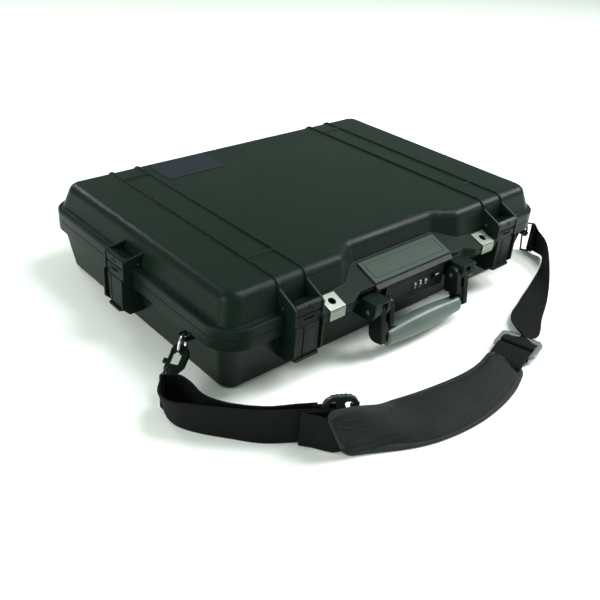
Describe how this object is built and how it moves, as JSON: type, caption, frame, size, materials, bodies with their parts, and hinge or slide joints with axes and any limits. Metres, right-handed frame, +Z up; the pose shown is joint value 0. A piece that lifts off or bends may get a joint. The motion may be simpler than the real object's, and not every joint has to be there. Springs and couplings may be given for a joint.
{
  "type": "laptop hard case",
  "caption": "Hard case for a laptop with a hinged lid, draw latches, a combination lock, a folding handle and a padded shoulder strap.",
  "frame": {"origin": "middle of the flat underside of the base, which rests on the floor", "axes": "+X along the case towards its right side, -Y towards the front with the handle, +Y towards the lid's hinges, +Z up"},
  "size_m": [0.6197, 0.5393, 0.1152],
  "materials": {
    "shell": "satin black moulded plastic",
    "grip": "soft grey-green rubber",
    "steel": "bright stainless steel",
    "pin_steel": "plain steel",
    "latch": "satin black moulded plastic",
    "foam": "soft black foam",
    "seal": "soft black rubber",
    "plate": "bare dark plate",
    "lock": "black plastic",
    "dial": "black plastic with light marks",
    "webbing": "woven black webbing",
    "pad": "woven black pad cover",
    "black_metal": "black metal",
    "slider": "black plastic",
    "wire": "bright steel wire"
  },
  "bodies": {
    "base": {"base_shell": "shell", "base_foam_liner": "foam", "base_padlock_guards": "steel", "hinge_pins": "pin_steel", "handle_pivot_pins": "pin_steel", "lock_housing": "lock", "lock_spindle": "pin_steel", "valve_body": "shell", "valve_nut": "shell", "valve_membrane": "seal", "strap_lugs": "black_metal", "strap_webbing_left": "webbing", "strap_webbing_right": "webbing", "shoulder_pad": "pad", "strap_end_loop_left": "webbing", "strap_end_loop_right": "webbing", "slider_left": "slider", "slider_right": "slider", "swivel_eye_left": "black_metal", "swivel_eye_right": "black_metal"},
    "lid": {"lid_shell": "shell", "lid_foam": "foam", "lid_seal": "seal", "name_plate": "plate", "label_plate": "plate", "lid_padlock_guards": "steel", "latch_pins": "pin_steel", "lock_keeper": "steel"},
    "handle": {"handle_frame": "shell", "handle_grip": "grip"},
    "latch_front_left_link": {"latch_front_left_link": "latch"},
    "latch_front_left_lever": {"latch_front_left_lever": "latch", "latch_front_left_lever_pin": "pin_steel"},
    "latch_front_right_link": {"latch_front_right_link": "latch"},
    "latch_front_right_lever": {"latch_front_right_lever": "latch", "latch_front_right_lever_pin": "pin_steel"},
    "latch_left_link": {"latch_left_link": "latch"},
    "latch_left_lever": {"latch_left_lever": "latch", "latch_left_lever_pin": "pin_steel"},
    "latch_right_link": {"latch_right_link": "latch"},
    "latch_right_lever": {"latch_right_lever": "latch", "latch_right_lever_pin": "pin_steel"},
    "lock_dial_1": {"lock_dial_1": "dial"},
    "lock_dial_2": {"lock_dial_2": "dial"},
    "lock_dial_3": {"lock_dial_3": "dial"},
    "lock_slider": {"lock_button": "lock", "lock_bolt": "steel"},
    "strap_ring_left": {"strap_ring_left": "wire"},
    "snap_hook_left": {"snap_hook_left": "black_metal"},
    "hook_gate_left": {"hook_gate_left": "black_metal"},
    "strap_ring_right": {"strap_ring_right": "wire"},
    "snap_hook_right": {"snap_hook_right": "black_metal"},
    "hook_gate_right": {"hook_gate_right": "black_metal"}
  },
  "joints": [
    {"name": "lid_hinge", "type": "hinge", "parent": "base", "child": "lid", "pos_m": [0, 0.188, 0.07165], "axis": [-1, 0, 0], "range_deg": [0, 105]},
    {"name": "handle_hinge", "type": "hinge", "parent": "base", "child": "handle", "pos_m": [0, -0.1985, 0.0575], "axis": [-1, 0, 0], "range_deg": [-12, 85]},
    {"name": "latch_front_left_link_hinge", "type": "hinge", "parent": "lid", "child": "latch_front_left_link", "pos_m": [-0.1666, -0.174, 0.0865], "axis": [-1, 0, 0], "range_deg": [0, 80]},
    {"name": "latch_front_left_lever_hinge", "type": "hinge", "parent": "latch_front_left_link", "child": "latch_front_left_lever", "pos_m": [-0.1666, -0.188, 0.08], "axis": [-1, 0, 0], "range_deg": [0, 90]},
    {"name": "latch_front_right_link_hinge", "type": "hinge", "parent": "lid", "child": "latch_front_right_link", "pos_m": [0.1666, -0.174, 0.0865], "axis": [-1, 0, 0], "range_deg": [0, 80]},
    {"name": "latch_front_right_lever_hinge", "type": "hinge", "parent": "latch_front_right_link", "child": "latch_front_right_lever", "pos_m": [0.1666, -0.188, 0.08], "axis": [-1, 0, 0], "range_deg": [0, 90]},
    {"name": "latch_left_link_hinge", "type": "hinge", "parent": "lid", "child": "latch_left_link", "pos_m": [-0.256, 0, 0.0865], "axis": [0, 1, 0], "range_deg": [0, 80]},
    {"name": "latch_left_lever_hinge", "type": "hinge", "parent": "latch_left_link", "child": "latch_left_lever", "pos_m": [-0.27, 0, 0.08], "axis": [0, 1, 0], "range_deg": [0, 90]},
    {"name": "latch_right_link_hinge", "type": "hinge", "parent": "lid", "child": "latch_right_link", "pos_m": [0.256, 0, 0.0865], "axis": [0, -1, 0], "range_deg": [0, 80]},
    {"name": "latch_right_lever_hinge", "type": "hinge", "parent": "latch_right_link", "child": "latch_right_lever", "pos_m": [0.27, 0, 0.08], "axis": [0, -1, 0], "range_deg": [0, 90]},
    {"name": "lock_dial_1_turn", "type": "hinge", "parent": "base", "child": "lock_dial_1", "pos_m": [-0.0005, -0.1837, 0.0575], "axis": [1, 0, 0], "continuous": true},
    {"name": "lock_dial_2_turn", "type": "hinge", "parent": "base", "child": "lock_dial_2", "pos_m": [0.0085, -0.1837, 0.0575], "axis": [1, 0, 0], "continuous": true},
    {"name": "lock_dial_3_turn", "type": "hinge", "parent": "base", "child": "lock_dial_3", "pos_m": [0.0175, -0.1837, 0.0575], "axis": [1, 0, 0], "continuous": true},
    {"name": "lock_slide", "type": "slide", "parent": "base", "child": "lock_slider", "axis": [-1, 0, 0], "range_m": [0, 0.004]},
    {"name": "ring_turn_left", "type": "hinge", "parent": "base", "child": "strap_ring_left", "pos_m": [-0.26705, -0.11887, 0.04511], "axis": [-0.5417, 0.8406, 0], "continuous": true},
    {"name": "hook_swivel_left", "type": "hinge", "parent": "base", "child": "snap_hook_left", "pos_m": [-0.27287, -0.12262, 0.04174], "axis": [-0.7554, -0.4868, -0.4386], "range_deg": [-15, 15]},
    {"name": "gate_spring_left", "type": "hinge", "parent": "snap_hook_left", "child": "hook_gate_left", "pos_m": [-0.2912, -0.12652, 0.03318], "axis": [0.3687, 0.2376, -0.8987], "range_deg": [0, 25], "stiffness_Nm_per_rad": 0.05},
    {"name": "ring_turn_right", "type": "hinge", "parent": "base", "child": "strap_ring_right", "pos_m": [0.26474, -0.1213, 0.04511], "axis": [0.8121, 0.5835, 0], "continuous": true},
    {"name": "hook_swivel_right", "type": "hinge", "parent": "base", "child": "snap_hook_right", "pos_m": [0.26878, -0.12692, 0.04174], "axis": [0.5244, -0.7298, -0.4386], "range_deg": [-15, 15]},
    {"name": "gate_spring_right", "type": "hinge", "parent": "snap_hook_right", "child": "hook_gate_right", "pos_m": [0.28441, -0.13727, 0.03318], "axis": [0.2559, -0.3562, 0.8987], "range_deg": [0, 25], "stiffness_Nm_per_rad": 0.05}
  ]
}
